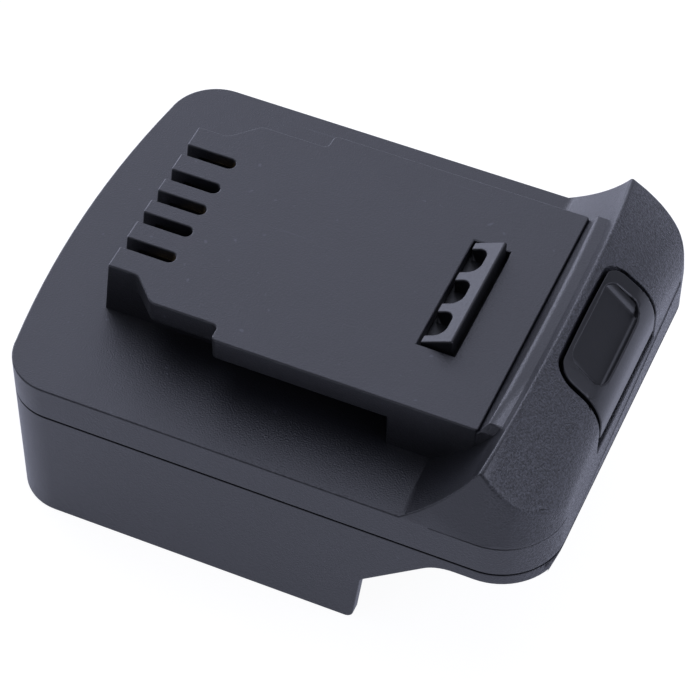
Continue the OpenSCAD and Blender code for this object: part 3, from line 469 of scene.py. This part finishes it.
# fine line scored into the wall round the button end's corners, running out on the end face
def scoreLine(bm, line):
    start = line["from"] * mm
    far, near = line["runOut"]

    def onWall(face):
        place = face.calc_center_median() / mm
        outward = face.normal.x * (place.x - line["middle"]) + face.normal.y * place.y > 0
        return outward and abs(face.normal.z) < line["upright"] and abs(place.y) > near

    def beyond(face):
        return face.calc_center_median().x > start

    def cut(faces, place, direction):
        geom = list({item for face in faces for item in (*face.verts, *face.edges)}) + faces
        bmesh.ops.bisect_plane(bm, geom=geom, dist=cutGap, plane_co=place, plane_no=direction)

    cut([face for face in bm.faces if onWall(face)], (start, 0, 0), (1, 0, 0))
    levels = [(line["level"] + k * line["width"] / 2) * mm for k in (-1, 0, 1)]
    for level in levels:
        cut([face for face in bm.faces if onWall(face) and beyond(face)], (0, 0, level), (0, 0, 1))
    bm.normal_update()
    scored = [[vert for vert in bm.verts if abs(vert.co.z - level) < mergeGap and vert.co.x > start
               and any(onWall(face) for face in vert.link_faces)] for level in levels]
    lines = set().union(*scored)
    for edge in bm.edges:
        one, other = edge.verts
        if one in lines and other in lines and abs(one.co.z - other.co.z) < mergeGap:
            edge.smooth = False
    for vert in scored[1]:  # only the middle of the three cuts goes in
        inward = Vector((-vert.normal.x, -vert.normal.y, 0)).normalized()
        vert.co += inward * line["depth"] * mm * clampShare(abs(vert.co.y) / mm, near, far)


# a shell or the latch with its moulded edges rounded
def softEdged(nodeName, pieceName, body, look):
    bm = mergedCopy(nodeName)
    bmesh.ops.dissolve_limit(bm, angle_limit=math.radians(look["flat"]), verts=bm.verts, edges=bm.edges)
    crease = math.radians(look["crease"])
    mergeAlongside(bm, crease, math.radians(look["alongside"]), look["mergeFrom"] * mm)
    weight = bm.edges.layers.float.new("bevel_weight_edge")
    softened = 0
    for edge in bm.edges:
        angle = edge.calc_face_angle_signed(0)
        edge.smooth = angle > -math.radians(look["hollow"])
        if angle > crease:
            edge[weight] = edgeWidth(edge, look["rules"]) / look["widest"]
            softened += 1
    for chain in look.get("chains", []):
        for edge in creaseChain(bm, chain):
            edge[weight] = chain["width"] / look["widest"]
    if "line" in look:
        scoreLine(bm, look["line"])
    piece = makePiece(bm, pieceName, nodeName)
    rounding = piece.modifiers.new("rounding", "BEVEL")
    rounding.limit_method = "WEIGHT"
    rounding.width = look["widest"] * mm
    rounding.segments = look["segments"]
    rounding.use_clamp_overlap = False
    flats = piece.modifiers.new("flats", "WEIGHTED_NORMAL")
    flats.keep_sharp = True
    flats.weight = look["flatWeight"]
    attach(piece, body)
    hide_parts(nodeName)
    print(pieceName, len(piece.data.polygons), "faces,", softened, "edges softened")


# angles in degrees, lengths in mm; a rule is a width and the box of the edges that take it
wide = 99  # past the part on every side
anywhere = ((-wide, 0, -wide), (wide, wide, wide))
edgeLook = {"flat": 0.4, "crease": 20, "hollow": 20, "alongside": 60, "mergeFrom": -wide, "flatWeight": 80,
            "segments": 3, "widest": 0.3, "rules": [(0.3, *anywhere)]}
foldChain = {"width": 0.5, "turn": 25, "flattest": 4}
upperLook = {
    **edgeLook, "segments": 4, "widest": 0.8, "mergeFrom": 28,
    "rules": [
        (0.12, (-wide, 0, -wide), (wide, wide, 26.0)),  # rim at the seam
        ((0.8, 0.7, 20, 33), (35, 0, 46.3), (40.6, 36, 60)),  # ridge of the bolster
        (0.3, (30, 34.3, 36), (37.47, 37, 46.3)),  # rim of the scoop along the leaning ends
        (0.2, (40, 12.5, 36), (51, 15, 50)),  # sides of the notch
        (0.15, (-32, 16, 39), (-29, 18, 40)),  # step of the flange, underneath
        (0.3, *anywhere),
    ],
    "chains": [  # fold between the slope and each leaning end
        {"start": (41.5, 35.13, 42.75), **foldChain},
        {"start": (41.5, -35.13, 42.75), **foldChain},
    ],
    "line": {"level": 32.45, "width": 0.36, "depth": 0.22, "from": 30.5, "middle": 20, "runOut": (28, 20),
             "upright": 0.5},
}
lowerLook = {
    **edgeLook,
    "rules": [
        (0, (48.5, 0, 25), (wide, wide, 26)),  # top of the lip at the seam
        (0.12, (-wide, 0, 24), (wide, wide, wide)),  # rim at the seam
        (0.15, (33.5, 35, 22.5), (35, 36, 24)),  # inner edge where the skirt turns into the lip
        (0.3, *anywhere),
    ],
}
latchRounding = {**edgeLook, "hollow": 50}
softEdged("upper_shell", "upperHousing", "housing", upperLook)
softEdged("lower_shell", "lowerHousing", "housing", lowerLook)
softEdged("release_latch", "releaseLatch", "latch", latchRounding)


def shortSprings():
    springs = makePiece(mergedCopy("latch_springs"), "latchSprings", "latch_springs")
    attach(springs, "housing")
    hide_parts("latch_springs")
    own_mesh(springs)


shortSprings()

# pale floor and dim cool room, both plain white to the camera; sizes in metres
stageLook = {
    "floorSize": 3.0, "floorCells": 8, "floorGrey": 0.8, "floorSpread": 0.01, "floorRough": 0.9,
    "cloudScale": 3.0, "cloudKind": (2.0, 0.5), "cloudSpan": (0.3, 0.7),
    "glow": 0.76, "glossGlow": 0.37, "glowLevel": 1.22,
    "light": 0.26, "roomGloss": 0.06, "cool": (0.93, 0.97, 1.24),
}


# how much of the floor or room is plain white: most of it for the camera, less in reflections
def whiteShare(tree, seen, mirrored):
    path = addNode(tree, "ShaderNodeLightPath")
    total = None
    for name, share in (("Is Camera Ray", seen), ("Is Glossy Ray", mirrored), ("Is Transmission Ray", seen)):
        part = addNode(tree, "ShaderNodeMath", {1: share}, operation="MULTIPLY")
        tree.links.new(path.outputs[name], part.inputs[0])
        total = addMath(tree, "MAXIMUM", total, part.outputs[0]) if total else part.outputs[0]
    return total


def makeFloor(look):
    bm = bmesh.new()
    cells = look["floorCells"]
    bmesh.ops.create_grid(bm, x_segments=cells, y_segments=cells, size=look["floorSize"])
    mesh = bpy.data.meshes.new("floor")
    bm.to_mesh(mesh)
    bm.free()
    material, tree, shader = newMaterial("paleFloor")
    cloud = noiseScaled(tree, objectCoords(tree), look["cloudScale"], look["cloudKind"])
    level, spread = look["floorGrey"], look["floorSpread"]
    tree.links.new(ramp(tree, cloud, look["cloudSpan"], grey(level - spread), grey(level + spread)),
                   shader.inputs["Base Color"])
    shader.inputs["Roughness"].default_value = look["floorRough"]
    glow = addNode(tree, "ShaderNodeEmission", {"Strength": look["glowLevel"]})
    path = addNode(tree, "ShaderNodeLightPath")
    glowColour = mixColour(tree, path.outputs["Is Camera Ray"], look["cool"], plainWhite)
    tree.links.new(glowColour, glow.inputs["Color"])
    mix = addNode(tree, "ShaderNodeMixShader")
    tree.links.new(whiteShare(tree, look["glow"], look["glossGlow"]), mix.inputs["Fac"])
    tree.links.new(shader.outputs["BSDF"], mix.inputs[1])
    tree.links.new(glow.outputs["Emission"], mix.inputs[2])
    tree.links.new(mix.outputs["Shader"], tree.nodes["Material Output"].inputs["Surface"])
    mesh.materials.append(material)
    floor = bpy.data.objects.new("floor", mesh)
    scene.collection.objects.link(floor)


def makeWorld(look):
    world = bpy.data.worlds.new("studio")
    scene.world = world
    world.use_nodes = True
    tree = world.node_tree
    back = tree.nodes["Background"]
    white = whiteShare(tree, 1.0, look["roomGloss"])
    roomColour = mixColour(tree, white, grey(look["light"], look["cool"]), plainWhite)
    tree.links.new(roomColour, back.inputs["Color"])
    back.inputs["Strength"].default_value = 1.0


# each lamp: direction from the part, distance and size in metres, brightness of its face
lamps = {
    "topBox": ((-0.3, 0.52, 0.8), 1.1, (1.5, 1.6), 1.03),
    "leftBox": ((-0.85, 0.5, 0.1), 1.0, (0.9, 0.7), 2.8),
    "rightBox": ((0.9, -0.05, 0.5), 1.0, (0.8, 0.7), 2.1),
}
lampTarget = Vector((0, 0, 0.03))


def areaLight(name, direction, distance, size, level, colour):
    data = bpy.data.lights.new(name, "AREA")
    data.shape = "RECTANGLE"
    data.size, data.size_y = size
    data.energy = math.pi * size[0] * size[1] * level
    data.color = colour
    lamp = bpy.data.objects.new(name, data)
    scene.collection.objects.link(lamp)
    towards = Vector(direction).normalized()
    lamp.location = lampTarget + towards * distance
    lamp.rotation_euler = towards.to_track_quat("Z", "Y").to_euler()


makeFloor(stageLook)
makeWorld(stageLook)
for lampName, (direction, distance, size, level) in lamps.items():
    areaLight(lampName, direction, distance, size, level, stageLook["cool"])
print("stage lit")
